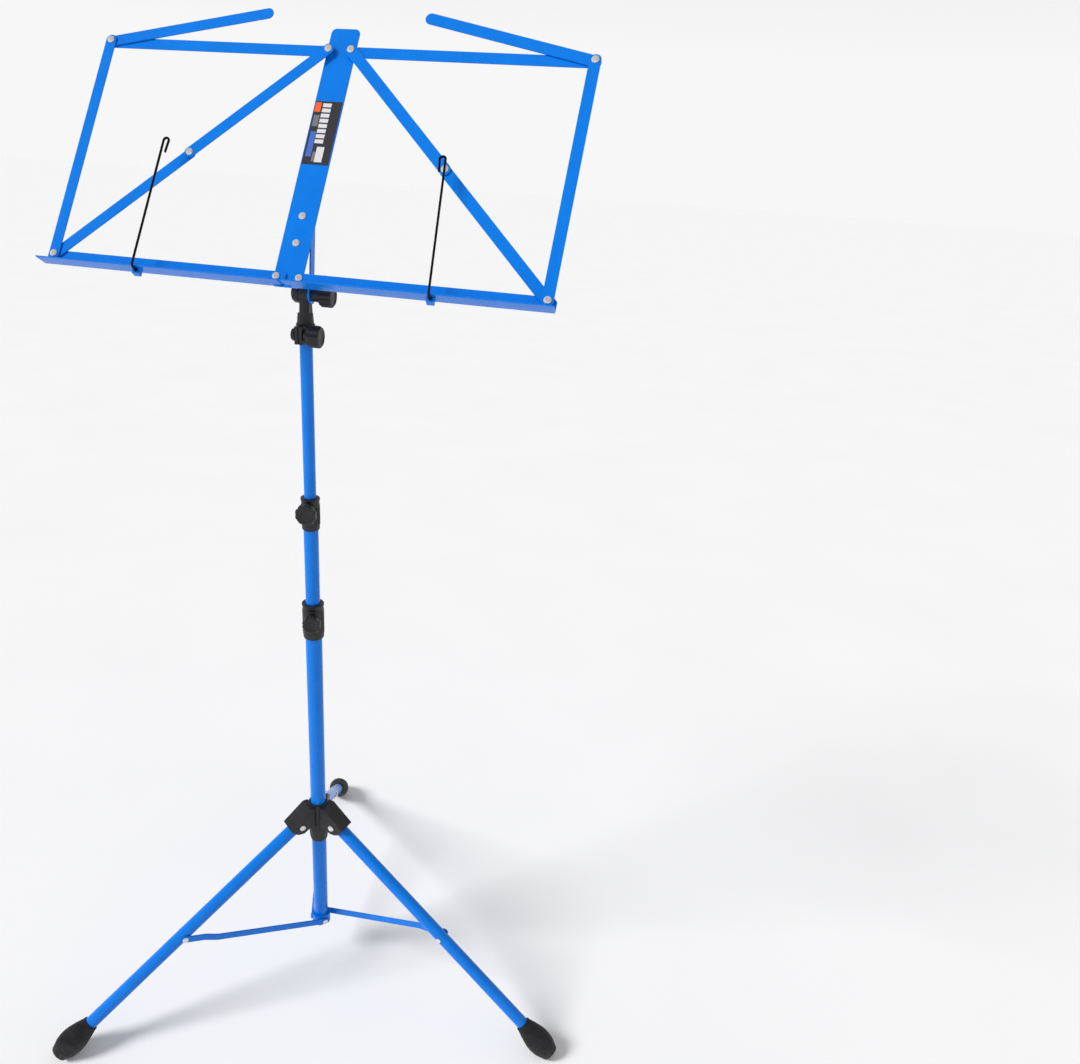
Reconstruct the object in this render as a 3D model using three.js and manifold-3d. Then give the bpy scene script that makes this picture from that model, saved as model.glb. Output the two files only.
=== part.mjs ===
// Folding music stand: tripod on a sliding hub, three nested tubes, tilting desk that folds up.
// Millimetres, +Z up, the front of the desk faces -Y.
import * as THREE from 'three';
import { mergeVertices } from 'three/addons/utils/BufferGeometryUtils.js';
import Module from 'manifold-3d';

const wasm = await Module();
wasm.setup();

// ---- driving dimensions -------------------------------------------------------------------------
const GAP = 0.3;                      // running clearance between neighbouring pieces
const EDGE = 0.25;                    // broken edge on pressed and sawn metal
const ROUND = 24;                     // facets on turned pieces
const SMALL = 12;                     // facets on rivets and bolts

const FRAME = { x: -50.62, y: -38.92 };  // moves the footprint centre onto the origin

const LOWER = { r: 9.5, wall: 1.1, z0: 67, z1: 550 };
const MIDDLE = { r: 8, wall: 1.0, z0: 200, z1: 673.5 };
const TOP = { r: 6.35, wall: 1.0, z0: 371, z1: 848.9 };

const LEG_AZIMUTHS = [77, 197, 317];  // degrees from -Y towards +X
const LEG = { r: 8, wall: 1.1, tail: 5, tubeEnd: 372, length: 403, lean: 54.4 };
const LEG_PIVOT = { r: 27, z: 242 };
const FOOT = { length: 52, sole: 10.9, mouth: 9.9, belly: 16.4 };
const HUB = { r: 12.6, z0: 208, z1: 269, cheek: 2.7, roof: 3 };
const BRACE = { half: 4.5, thick: 2, inner: 11.6, outer: 8.4, z: 62, legAt: 199 };
const BASE = { flat: 11.2, corner: 12.8, z0: 55, z1: 71, floor: 1.6 };

const LOWER_COLLAR = { tube: MIDDLE.r, seat: LOWER.r, r: 12.3, z0: 510, z1: 553.5, knobZ: 536, azimuth: 17,
  knobR: 10.4 };
const UPPER_COLLAR = { tube: TOP.r, seat: MIDDLE.r, r: 10.1, z0: 641.5, z1: 677, knobZ: 664, azimuth: 8,
  knobR: 11.4 };
const HEAD = { r: 9.2, z0: 832.7, z1: 850.2, earY: -14.5, pivotZ: 876.2, boss: 8.3, face: [-3.4, 5.6] };

const DESK = { x: -1.6, y: -33.3, z: 892.8, tilt: 36.8 };
const BAR = { half: 14, top: 250, bottom: -8.5, back: -1.8, front: -0.3 };
const HINGE = { s: 11, span: 225 };   // bar rivets either side of centre; side of the folding square
const STRIP = { half: 5.5, thick: 1.2 };
const LAYER = { rear: 0, middle: 1.5, front: 3.0, extension: 1.5 };
const LEDGE = { end: 244, low: -9.5, high: 5, depth: 16, inner: 6, open: 8 };  // shelf opened by 8 degrees
const EXTENSION = { length: 160, rise: 12.9 };
const WIRE = { r: 1.1, s: [142, 137.7], t: -13.1, n: 18.7, rise: 124.6, lean: [0, 4.8] };  // left, right
const LUG = { half: 3.4, n0: 6, n1: 11.5, low: -15.9 };
const BRACKET = { s0: 7.6, thick: 1.5, rivets: [60.5, 34], lug: 8.5, strap: 4.5 };
const RIVET = { shank: 1.9, head: 3.5, dome: 1.5, tail: 2.9, tailHeight: 1.0 };
const PIVOT_PIN = { shank: 2.5, head: 4.1, dome: 1.9, tail: 4.1, tailHeight: 1.4 };
const BRACE_RIVET = { shank: 2.1, head: 3.8, dome: 1.7, tail: 3.2, tailHeight: 1.1 };
const SEAT = 0.2;                     // air under a rivet's head and tail

const rad = THREE.MathUtils.degToRad;

// ---- materials ----------------------------------------------------------------------------------
function material(name, color, metalness, roughness) {
  return new THREE.MeshStandardMaterial({ name, color, metalness, roughness });
}

const paint = material('blue_paint', 0x0a6fe0, 0.2, 0.4);
const plastic = material('black_plastic', 0x1c1b1f, 0, 0.6);
const rubber = material('black_rubber', 0x141416, 0, 0.85);
const steel = material('bright_steel', 0xd8d6d2, 1, 0.3);
const wireBlack = material('black_wire', 0x18181a, 0.6, 0.45);

// ---- shape helpers ------------------------------------------------------------------------------
const P = (x, y) => new THREE.Vector2(x, y);

function arc(cx, cy, r, from, to, steps) {
  const points = [];
  for (let i = 0; i <= steps; i += 1) {
    const a = rad(from + ((to - from) * i) / steps);
    points.push(P(cx + r * Math.cos(a), cy + r * Math.sin(a)));
  }
  return points;
}

const circle = (cx, cy, r, facets) => arc(cx, cy, r, 0, 360 - 360 / facets, facets - 1);

// Outline of a strip with round ends, running between two rivet centres.
function stripOutline(a, b, half, endSteps = 7) {
  const heading = THREE.MathUtils.radToDeg(Math.atan2(b.y - a.y, b.x - a.x));
  return [
    ...arc(b.x, b.y, half, heading - 90, heading + 90, endSteps),
    ...arc(a.x, a.y, half, heading + 90, heading + 270, endSteps),
  ];
}

function shapeOf(outline, holes = []) {
  const shape = new THREE.Shape(outline);
  for (const hole of holes) shape.holes.push(new THREE.Path(hole));
  return shape;
}

// Plate with broken edges between two heights.
function plate(outline, z0, z1, holes = [], edge = EDGE) {
  const geometry = new THREE.ExtrudeGeometry(shapeOf(outline, holes), {
    depth: z1 - z0 - 2 * edge, steps: 1, curveSegments: 1, bevelEnabled: true,
    bevelThickness: edge, bevelSize: edge, bevelOffset: -edge, bevelSegments: 1,
  });
  return geometry.translate(0, 0, z0 + edge);
}

// Sharp-edged prism, used as raw stock and as a cutter.
function prism(outline, z0, z1) {
  const geometry = new THREE.ExtrudeGeometry(shapeOf(outline), { depth: z1 - z0, bevelEnabled: false,
    curveSegments: 1 });
  return geometry.translate(0, 0, z0);
}

const box = (x0, x1, y0, y1, z0, z1) => prism([P(x0, y0), P(x1, y0), P(x1, y1), P(x0, y1)], z0, z1);
const rod = (r, z0, z1, facets = ROUND) => prism(circle(0, 0, r, facets), z0, z1);

// Turned piece about Z from [radius, height] pairs.
function turned(profile, facets = ROUND) {
  const points = profile.map(([r, z]) => P(Math.max(r, 0), z));
  return new THREE.LatheGeometry(points, facets).rotateX(Math.PI / 2);
}

// Tube open at both ends, with broken rims.
function tube({ r, wall, z0, z1 }, facets = ROUND) {
  const bore = r - wall;
  const rim = 0.3;
  return turned([
    [bore, z0], [r - rim, z0], [r, z0 + rim], [r, z1 - rim], [r - rim, z1], [bore, z1], [bore, z0],
  ], facets);
}

function solid(geometry) {
  const bare = geometry.clone();
  bare.deleteAttribute('normal');
  bare.deleteAttribute('uv');
  const welded = mergeVertices(bare, 1e-4);
  const mesh = new wasm.Mesh({
    numProp: 3,
    vertProperties: new Float32Array(welded.attributes.position.array),
    triVerts: new Uint32Array(welded.index.array),
  });
  mesh.merge();
  return new wasm.Manifold(mesh);
}

function geometryOf(body) {
  const mesh = body.getMesh();
  const geometry = new THREE.BufferGeometry();
  geometry.setAttribute('position', new THREE.BufferAttribute(new Float32Array(mesh.vertProperties), 3));
  geometry.setIndex(new THREE.BufferAttribute(new Uint32Array(mesh.triVerts), 1));
  return geometry;
}

const join = (first, ...rest) => rest.reduce((body, g) => body.add(solid(g)), solid(first));
const cut = (body, ...cutters) => cutters.reduce((left, g) => left.subtract(solid(g)), body);

const alongX = (geometry) => geometry.rotateY(Math.PI / 2);
const alongY = (geometry) => geometry.rotateX(-Math.PI / 2);

function piece(parent, name, shape, material) {
  const geometry = shape.isBufferGeometry ? shape : geometryOf(shape);
  const mesh = new THREE.Mesh(geometry, material);
  mesh.name = name;
  parent.add(mesh);
  return mesh;
}

// Group whose X points outward at an azimuth measured from -Y towards +X, Y to its left, Z up.
function spoke(parent, azimuth) {
  const group = new THREE.Group();
  group.rotation.z = rad(azimuth - 90);
  parent.add(group);
  return group;
}

// ---- rivets and knobs ---------------------------------------------------------------------------
// Domed rivet along Z: shank between two faces, domed head above, flat formed tail below if it has one.
function rivet(z0, z1, { shank, head, dome, tail, tailHeight } = RIVET, collars = []) {
  const profile = tail
    ? [[0, z0 - tailHeight], [tail - 0.4, z0 - tailHeight], [tail, z0], [shank, z0]]
    : [[0, z0], [shank, z0]];
  for (const [from, to] of collars) {
    profile.push([shank, from], [head, from], [head, to], [shank, to]);
  }
  profile.push([shank, z1], [head, z1], [head * 0.88, z1 + 0.6 * dome], [head * 0.5, z1 + 0.92 * dome],
    [0, z1 + dome]);
  return turned(profile, SMALL);
}

// Hand knob along Z with finger flutes, a neck at the bottom and a rounded crown.
function knob({ r, neck, neckEnd, top, flutes, fluteR, bore }) {
  const body = solid(turned([
    [0, 0], [neck, 0], [neck, neckEnd], [r - 1.6, neckEnd], [r, neckEnd + 1.4], [r, top - 1.8],
    [r - 0.6, top - 0.7], [r - 1.8, top], [r * 0.62, top], [r * 0.56, top - 0.7], [0, top - 0.7],
  ], 30));
  const grooves = [];
  for (let i = 0; i < flutes; i += 1) {
    const a = (2 * Math.PI * i) / flutes;
    const reach = r + fluteR * 0.62;
    grooves.push(prism(circle(reach * Math.cos(a), reach * Math.sin(a), fluteR, 10), neckEnd - 1, top + 1));
  }
  return cut(body, ...grooves, rod(bore.r, -1, bore.depth, SMALL));
}

// ---- column -------------------------------------------------------------------------------------
// Moulded clamp collar: seat for the outer tube, passage for the inner one, boss for the knob.
function collar({ tube: inner, seat, r, z0, z1, knobZ }) {
  const shoulder = z1 - 3;
  const shell = join(
    turned([
      [0, z0], [r - 1.2, z0], [r - 0.5, z0 + 1.2], [r - 0.5, z0 + 5], [r, z0 + 6.5], [r, z1 - 8],
      [r - 0.5, z1 - 6.5], [r - 0.5, z1 - 4], [r + 0.1, z1 - 2.4], [r + 0.1, z1 - 0.5], [r - 0.4, z1],
      [0, z1],
    ], 28),
    alongX(rod(7.2, 0, r + 2.2, 20)).translate(0, 0, knobZ),
  );
  const ribs = [];
  for (let i = 0; i < 7; i += 1) {
    const a = rad(56 + i * 11);
    ribs.push(box(-0.5, 0.5, -0.55, 0.55, z0 + 8, z1 - 9.5)
      .translate(r * Math.cos(a), r * Math.sin(a), 0));
  }
  return cut(
    shell,
    rod(seat + GAP, z0 - 1, shoulder),
    rod(inner + GAP, shoulder - 1, z1 + 1),
    box(r - 2.2, r + 4, -6, 6, z1 - 6.2, z1 - 5),
    alongX(rod(3.3, 0, r + 4, SMALL)).translate(0, 0, knobZ),
    ...ribs,
  );
}

// Screw knob of a clamp collar, lying along the spoke.
function collarKnob({ r, knobZ, knobR, seat }) {
  const stem = r + 2.2 + GAP;
  const body = knob({ r: knobR, neck: 5.4, neckEnd: 1.6, top: 9.6, flutes: 10, fluteR: 2.2,
    bore: { r: 1, depth: 0.5 } });
  const screw = solid(rod(3, seat + 0.6 - stem, 4, SMALL));
  return geometryOf(body.add(screw)).rotateY(Math.PI / 2).translate(stem, 0, knobZ);
}

function column(stand) {
  piece(stand, 'lower_tube', tube(LOWER), paint);
  piece(stand, 'middle_tube', tube(MIDDLE), paint);
  piece(stand, 'top_tube', tube(TOP), paint);
  for (const [name, size] of [['lower_collar', LOWER_COLLAR], ['upper_collar', UPPER_COLLAR]]) {
    const side = spoke(stand, size.azimuth);
    piece(side, name, collar(size), plastic);
    piece(side, `${name}_knob`, collarKnob(size), plastic);
  }
}

// ---- tripod -------------------------------------------------------------------------------------
// Cheeks and roof that hold the top of one leg, drawn in the plane of the leg.
function legHousing() {
  const along = (s, v) => {
    const out = Math.sin(rad(LEG.lean));
    const down = Math.cos(rad(LEG.lean));
    return P(LEG_PIVOT.r + s * out + v * down, LEG_PIVOT.z - s * down + v * out);
  };
  const roof = LEG.r + GAP + HUB.roof;
  const outline = [along(12.5, roof), along(12.5, 1), along(9.5, -5), along(4, -9.5), along(-5, -9.5),
    P(10, LEG_PIVOT.z - 8), P(10, HUB.z1 - 2), P(16.5, HUB.z1 - 2)];
  const swing = Math.hypot(LEG.tail, LEG.r) + GAP;
  const meets = LEG.lean - THREE.MathUtils.radToDeg(Math.acos((LEG.r + GAP) / swing));
  const channel = [along(30, LEG.r + GAP), ...arc(LEG_PIVOT.r, LEG_PIVOT.z, swing, meets, 180, 12),
    P(LEG_PIVOT.r - swing, LEG_PIVOT.z - 40), along(30, -40)];
  const half = LEG.r + GAP + HUB.cheek;
  const stand = (points, w) => prism(points, -w, w).rotateX(Math.PI / 2);
  return { body: stand(outline, half), slot: stand(channel, LEG.r + GAP) };
}

function hub(stand) {
  const { body, slot } = legHousing();
  const spread = (geometry) => LEG_AZIMUTHS.map((azimuth) => geometry.clone().rotateZ(rad(azimuth - 90)));
  const drill = alongY(rod(PIVOT_PIN.shank + GAP, -14, 14, SMALL)).translate(LEG_PIVOT.r, 0, LEG_PIVOT.z);
  const sleeve = turned([
    [0, HUB.z0], [HUB.r - 2, HUB.z0], [HUB.r - 1.2, HUB.z0 + 3], [HUB.r, HUB.z0 + 16], [HUB.r, HUB.z1 - 1],
    [HUB.r - 1, HUB.z1], [0, HUB.z1],
  ], 30);
  const whole = join(sleeve, ...spread(body));
  const shaped = cut(whole, ...spread(slot), ...spread(drill), rod(LOWER.r + GAP, HUB.z0 - 1, HUB.z1 + 1));
  piece(stand, 'tripod_hub', shaped, plastic);
}

// Leg tube along +Z from its pivot, cross-drilled for the hub pin.
function legTube() {
  const body = solid(tube({ r: LEG.r, wall: LEG.wall, z0: -LEG.tail, z1: LEG.tubeEnd }));
  return geometryOf(cut(body, alongY(rod(PIVOT_PIN.shank + GAP, -12, 12, SMALL))));
}

// Barrel-shaped rubber foot on the end of a leg, its sole worn flat where it meets the floor.
function footCap(toLeg) {
  const end = LEG.length;
  const mouth = end - FOOT.length;
  const body = solid(turned([
    [0, end], [FOOT.sole - 0.6, end], [FOOT.sole, end - 0.6], [12.9, end - 5.5], [15.2, end - 11.5],
    [FOOT.belly, end - 19], [FOOT.belly - 0.1, end - 26], [15, end - 33], [12.9, end - 41],
    [FOOT.mouth, mouth + 0.8], [FOOT.mouth - 0.5, mouth], [LEG.r + GAP, mouth],
    [LEG.r + GAP, LEG.tubeEnd + 1], [0, LEG.tubeEnd + 1],
  ].reverse(), 26));
  const worn = body.subtract(solid(box(-900, 900, -900, 900, -60, 0).applyMatrix4(toLeg.clone().invert())));
  return geometryOf(worn);
}

// Flat brace standing on edge beside its leg, cranked inwards near the leg rivet.
function brace(length) {
  const y0 = BRACE.inner;
  const y1 = BRACE.outer;
  const t = BRACE.thick;
  const plan = [P(-8, y0), P(length - 42, y0), P(length - 26, y1), P(length + 8, y1), P(length + 8, y1 + t),
    P(length - 26, y1 + t), P(length - 42, y0 + t), P(-8, y0 + t)];
  const side = plate(stripOutline(P(0, 0), P(length, 0), BRACE.half), -20, 20,
    [0, length].map((x) => circle(x, 0, BRACE_RIVET.shank + GAP, SMALL))).rotateX(Math.PI / 2);
  return geometryOf(solid(prism(plan, -10, 10)).intersect(solid(side)));
}

// The loop of leg and brace is open where they meet: that rivet stays in the brace and ends short of
// the leg, with room for the leg to pass.
function tripod(stand) {
  hub(stand);
  const lean = rad(LEG.lean);
  const joint = P(LEG_PIVOT.r + BRACE.legAt * Math.sin(lean), LEG_PIVOT.z - BRACE.legAt * Math.cos(lean));
  const length = Math.hypot(joint.x, joint.y - BRACE.z);
  LEG_AZIMUTHS.forEach((azimuth, i) => {
    const side = spoke(stand, azimuth);
    const leg = new THREE.Group();
    leg.position.set(LEG_PIVOT.r, 0, LEG_PIVOT.z);
    leg.rotation.y = Math.PI - lean;
    side.add(leg);
    side.updateMatrixWorld(true);
    piece(leg, `leg_${i + 1}`, legTube(), paint);
    piece(leg, `foot_cap_${i + 1}`, footCap(leg.matrixWorld), rubber);
    const cheek = LEG.r + GAP + HUB.cheek + SEAT;
    piece(side, `leg_pin_${i + 1}`, rivet(-cheek, cheek, PIVOT_PIN).rotateX(-Math.PI / 2)
      .translate(LEG_PIVOT.r, 0, LEG_PIVOT.z), steel);
    const arm = new THREE.Group();
    arm.position.set(0, 0, BRACE.z);
    arm.rotation.y = -Math.atan2(joint.y - BRACE.z, joint.x);
    side.add(arm);
    piece(arm, `brace_${i + 1}`, brace(length), paint);
    piece(arm, `brace_rivet_${i + 1}`, rivet(LEG.r + SEAT, BRACE.outer + BRACE.thick + SEAT,
      { ...BRACE_RIVET, tail: 0 }).rotateX(-Math.PI / 2).translate(length, 0, 0), steel);
    piece(side, `base_rivet_${i + 1}`, rivet(LOWER.r - 0.6, BRACE.inner + BRACE.thick + SEAT, BRACE_RIVET)
      .rotateX(-Math.PI / 2).translate(0, 0, BRACE.z), steel);
  });
}

// Pressed cup closing the bottom of the lower tube, one flat for each brace.
function baseBracket(stand) {
  const spread = 60 - THREE.MathUtils.radToDeg(Math.acos(BASE.flat / BASE.corner));
  const outline = LEG_AZIMUTHS.flatMap((a) => arc(0, 0, BASE.corner, a + 60 - spread, a + 60 + spread, 6));
  const holes = LEG_AZIMUTHS.map((a) => alongY(rod(BRACE_RIVET.shank + GAP, 4, 20, SMALL))
    .translate(0, 0, BRACE.z).rotateZ(rad(a - 90)));
  const cup = cut(solid(plate(outline, BASE.z0, BASE.z1, [], 0.6)), rod(LOWER.r + GAP, BASE.z0 + BASE.floor,
    BASE.z1 + 1), ...holes);
  piece(stand, 'base_bracket', cup, paint);
}

// ---- head ---------------------------------------------------------------------------------------
// Moulding clamped on the top tube: split sleeve with ears, neck, flat tongue for the tilt bolt.
function head(stand) {
  const { r, z0, z1, earY, pivotZ, boss, face } = HEAD;
  const neck = turned([[0, z1 - 4], [r - 0.6, z1 - 4], [r - 1, z1], [7.8, z1 + 4], [6.7, pivotZ - 9],
    [6.4, pivotZ - 2], [0, pivotZ - 2]]);
  const crown = alongX(rod(boss, face[0], face[1])).translate(0, 0, pivotZ);
  const cheeks = [[face[1], 12], [-12, face[0]]]
    .map(([x0, x1]) => box(x0, x1, -12, 12, z1 + 9, pivotZ + 12));
  const ears = box(face[0], 4.2, earY - 5, 0, z0 + 0.8, z1 - 0.8);
  const sleeve = turned([[0, z0], [r - 0.8, z0], [r, z0 + 0.8], [r, z1 - 0.8], [r - 0.8, z1], [0, z1]]);
  const body = cut(
    join(sleeve, neck, crown, ears),
    ...cheeks,
    rod(TOP.r + GAP, z0 - 1, TOP.z1 + 0.3),
    box(-0.1, 0.9, earY - 6, 0, z0 - 1, z1 + 0.1),
    alongX(rod(2.4, -9, 9, SMALL)).translate(0, earY, (z0 + z1) / 2),
    alongX(rod(3 + GAP, -9, 9, SMALL)).translate(0, 0, pivotZ),
  );
  piece(stand, 'head_clamp', body, plastic);
  const clampZ = (z0 + z1) / 2;
  piece(stand, 'head_clamp_knob', geometryOf(knob({ r: 10, neck: 4.6, neckEnd: 4.2, top: 17.4, flutes: 8,
    fluteR: 2.6, bore: { r: 2.2, depth: 9 } })).rotateY(Math.PI / 2).translate(4.6, earY, clampZ), plastic);
  piece(stand, 'head_clamp_bolt', turned([[0, -7.4], [4.9, -7.4], [5.6, -6.7], [5.6, -3.9], [2, -3.9],
    [2, 13], [0, 13]], 18).rotateY(Math.PI / 2).translate(0, earY, clampZ), plastic);
  piece(stand, 'tilt_knob', geometryOf(knob({ r: 10, neck: 6.2, neckEnd: 8, top: 21, flutes: 8, fluteR: 2.6,
    bore: { r: 3.2, depth: 12 } })).rotateY(Math.PI / 2).translate(8, 0, pivotZ), plastic);
  piece(stand, 'tilt_bolt', turned([[0, -11.4], [6.2, -11.4], [8.2, -9.8], [8.4, -5], [7.6, -3.8], [3, -3.8],
    [3, 19.4], [0, 19.4]], 24).rotateY(Math.PI / 2).translate(0, 0, pivotZ), plastic);
}

// ---- desk ---------------------------------------------------------------------------------------
// Every desk piece is drawn flat: X across the desk, Y up it, Z out towards the player.
const rivetHole = (s, t) => circle(s, t, RIVET.shank + GAP, SMALL);

function strip(a, b, layer, drilledAtB = true) {
  return plate(stripOutline(a, b, STRIP.half), layer, layer + STRIP.thick,
    (drilledAtB ? [a, b] : [a]).map(({ x, y }) => rivetHole(x, y)));
}

function centreBar() {
  const { half, top, bottom, back, front } = BAR;
  const outline = [P(-half, 30), ...arc(-half + 1.2, bottom + 2.5, 2.5, 180, 270, 4),
    ...arc(half - 4, bottom + 4, 4, 270, 360, 4), P(half, 12),
    ...arc(half - 5, top - 5, 5, 0, 90, 6), ...arc(-half + 5, top - 5, 5, 90, 180, 6)];
  const holes = [-HINGE.s, HINGE.s].flatMap((s) => [rivetHole(s, 0), rivetHole(s, HINGE.span)]);
  return plate(outline, back, front, [...holes, ...BRACKET.rivets.map((t) => rivetHole(0, t))]);
}

// Angle bracket: foot riveted behind the bar, strap bent back to an eye on the tilt bolt.
function tiltBracket(pivot) {
  const { s0, thick, rivets, lug, strap } = BRACKET;
  const s1 = s0 + thick;
  const back = BAR.back - GAP;
  const foot = [P(-7, rivets[1] - 8), P(s1, rivets[1] - 12), P(s1, rivets[0] + 7), P(-4, rivets[0] + 7),
    P(-7, rivets[0] + 4)];
  const root = [P(rivets[0] - 16, back), P(rivets[0] - 12, back - 6), P(rivets[0] - 2, back - 6),
    P(rivets[0] + 7, back - 2), P(rivets[0] + 7, back)];
  const upper = P(rivets[0] - 4, back - strap - 0.5);
  const upright = (outline) => prism(outline, s0, s1).rotateX(Math.PI / 2).rotateZ(Math.PI / 2);
  const body = join(prism(foot, back - thick, back), upright(root),
    upright(stripOutline(pivot, upper, strap)), upright(circle(pivot.x, pivot.y, lug, ROUND)));
  const drills = rivets.map((t) => rod(RIVET.shank + GAP, back - 4, back + 4, SMALL).translate(0, t, 0));
  return cut(body, ...drills, alongX(rod(3 + GAP, s0 - 2, s1 + 2, SMALL)).translate(0, pivot.x, pivot.y));
}

const wireS = (side) => side * WIRE.s[side < 0 ? 0 : 1];

// Half of the music ledge: angle strip with cut inner corners and a lug under it for the page wire.
function ledge(side) {
  const { end, low, high, depth, inner, open } = LEDGE;
  const thick = STRIP.thick;
  const shelf = (offset, n) => P(low + offset - Math.tan(rad(open)) * n, n);
  const section = [
    P(low + 1.6, 0), P(high - 0.3, 0), P(high, 0.3), P(high, thick - 0.3), P(high - 0.3, thick),
    P(low + thick + 0.9, thick), shelf(thick, thick + 0.9), shelf(thick, depth - 0.3),
    shelf(thick - 0.3, depth), shelf(0.3, depth), shelf(0, depth - 0.3), shelf(0, 1.6), P(low + 0.5, 0.5),
  ];
  const span = [side * 1.8, side * end].sort((a, b) => a - b);
  const angle = prism(section, span[0], span[1]).rotateX(Math.PI / 2).rotateZ(Math.PI / 2);
  const at = (s, t) => P(side * s, t);
  const wireAt = wireS(side);
  const lug = box(wireAt - LUG.half, wireAt + LUG.half, LUG.low, shelf(0.9, LUG.n1).x, LUG.n0, LUG.n1);
  const innerCut = [at(0, low - 1), at(inner + 3, low - 1), at(inner - 2, low + 2.4), at(0, low + 5.5)];
  const innerTop = [at(0, high + 1), at(0, 1.5), at(5.2, high + 1)];
  const outerTop = [at(end + 1, high + 1), at(end - 5, high + 1), at(end + 1, high - 5)];
  const drill = (s) => rod(RIVET.shank + GAP, -2, 4, SMALL).translate(side * s, 0, 0);
  return cut(
    join(angle, lug),
    prism(innerCut, -1, depth + 1),
    prism(innerTop, -1, depth + 1),
    prism(outerTop, -1, 2),
    prism([at(inner - 1, low - 1), at(inner - 1, low + 2), at(0, low + 2), at(0, low - 1)], -1, depth + 1),
    drill(HINGE.s),
    drill(HINGE.s + HINGE.span),
    rod(WIRE.r + GAP, LUG.n0 - 1, LUG.n1 + 1, SMALL).translate(wireAt, WIRE.t, 0),
  );
}

// Sprung steel wire that holds the page: pivot under the ledge, stalk, open hook at the top.
function pageWire(side, lean) {
  const { r, n, rise } = WIRE;
  const hook = 2.6;
  const bend = 3;
  const V = (x, y, z) => new THREE.Vector3(side * x, y, z);
  const curves = [
    new THREE.LineCurve3(V(0, 0, LUG.n0 - 1.5), V(0, 0, n - bend)),
    new THREE.QuadraticBezierCurve3(V(0, 0, n - bend), V(0, 0, n), V(0, bend, n)),
    new THREE.LineCurve3(V(0, bend, n), V(0, rise, n)),
    new THREE.CubicBezierCurve3(V(0, rise, n), V(0, rise + 3.6, n), V(-2 * hook, rise + 3.6, n),
      V(-2 * hook, rise, n)),
    new THREE.LineCurve3(V(-2 * hook, rise, n), V(-1.7 * hook, rise - 11.5, n)),
  ];
  const points = [V(0, 0, LUG.n0 - 1.5)];
  for (const curve of curves) {
    const steps = curve.isLineCurve3 ? 4 : 6;
    for (let i = 1; i <= steps; i += 1) points.push(curve.getPoint(i / steps));
  }
  const geometry = new THREE.ExtrudeGeometry(shapeOf(circle(0, 0, r, 8)), { steps: 48, bevelEnabled: false,
    extrudePath: new THREE.CatmullRomCurve3(points, false, 'catmullrom', 0.2) });
  return geometry.rotateZ(rad(side * lean)).translate(wireS(side), WIRE.t, 0);
}

// The loop of the two diagonals is open where they meet: that rivet stays in the upper one and ends
// short of the lower one.
function deskSide(desk, side, label, lean) {
  const s = side * HINGE.s;
  const far = side * (HINGE.s + HINGE.span);
  const topIn = P(s, HINGE.span);
  const topOut = P(far, HINGE.span);
  const lowIn = P(s, 0);
  const lowOut = P(far, 0);
  const centre = P((s + far) / 2, HINGE.span / 2);
  const rise = rad(EXTENSION.rise);
  const reach = P(EXTENSION.length * Math.cos(rise), EXTENSION.length * Math.sin(rise));
  const tip = P(far - side * reach.x, HINGE.span + reach.y);
  const { rear, middle, front, extension } = LAYER;
  const thick = STRIP.thick;
  const add = (name, shape, material = paint) => piece(desk, `${label}_${name}`, shape, material);
  const fix = (name, at, z0, z1, collars) => add(name, rivet(z0 - SEAT, z1 + SEAT, RIVET, collars)
    .translate(at.x, at.y, 0), steel);
  add('ledge', ledge(side));
  add('top_arm', strip(topIn, topOut, rear));
  add('upright', strip(lowOut, topOut, front));
  add('diagonal_upper', strip(topIn, centre, front));
  add('diagonal_lower', strip(lowOut, centre, middle, false));
  add('extension_arm', plate(stripOutline(topOut, tip, STRIP.half), extension, extension + thick,
    [rivetHole(topOut.x, topOut.y)]));
  add('page_wire', pageWire(side, lean), wireBlack);
  fix('rivet_bar_low', lowIn, BAR.back, rear + thick);
  fix('rivet_bar_top', topIn, BAR.back, front + thick, [[rear + thick + SEAT, front - SEAT]]);
  fix('rivet_corner_low', lowOut, rear, front + thick);
  fix('rivet_corner_top', topOut, rear, front + thick);
  add('rivet_diagonal', rivet(front - SEAT, front + thick + SEAT, { ...RIVET, tail: 0 })
    .translate(centre.x, centre.y, 0), steel);
}

function desk(stand) {
  const group = new THREE.Group();
  const tilt = rad(DESK.tilt);
  group.position.set(DESK.x, DESK.y, DESK.z);
  group.rotation.x = Math.PI / 2 - tilt;
  stand.add(group);
  const back = -DESK.y;
  const drop = HEAD.pivotZ - DESK.z;
  const lean = P(Math.sin(tilt), Math.cos(tilt));
  const pivot = P(back * lean.x + drop * lean.y, drop * lean.x - back * lean.y);
  piece(group, 'centre_bar', centreBar(), paint);
  piece(group, 'tilt_bracket', tiltBracket(pivot), paint);
  BRACKET.rivets.forEach((t, i) => {
    const behind = BAR.back - GAP - BRACKET.thick;
    piece(group, `bracket_rivet_${i + 1}`, rivet(behind - SEAT, BAR.front + SEAT).translate(0, t, 0), steel);
  });
  deskSide(group, -1, 'left', WIRE.lean[0]);
  deskSide(group, 1, 'right', WIRE.lean[1]);
}

const stand = new THREE.Group();
stand.name = 'music_stand';
stand.position.set(FRAME.x, FRAME.y, 0);
column(stand);
tripod(stand);
baseBracket(stand);
head(stand);
desk(stand);
export default stand;
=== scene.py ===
"""Looks of the folding music stand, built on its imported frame."""

import math
from collections import namedtuple

import bmesh
import bpy
from mathutils import Matrix, Vector


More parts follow.
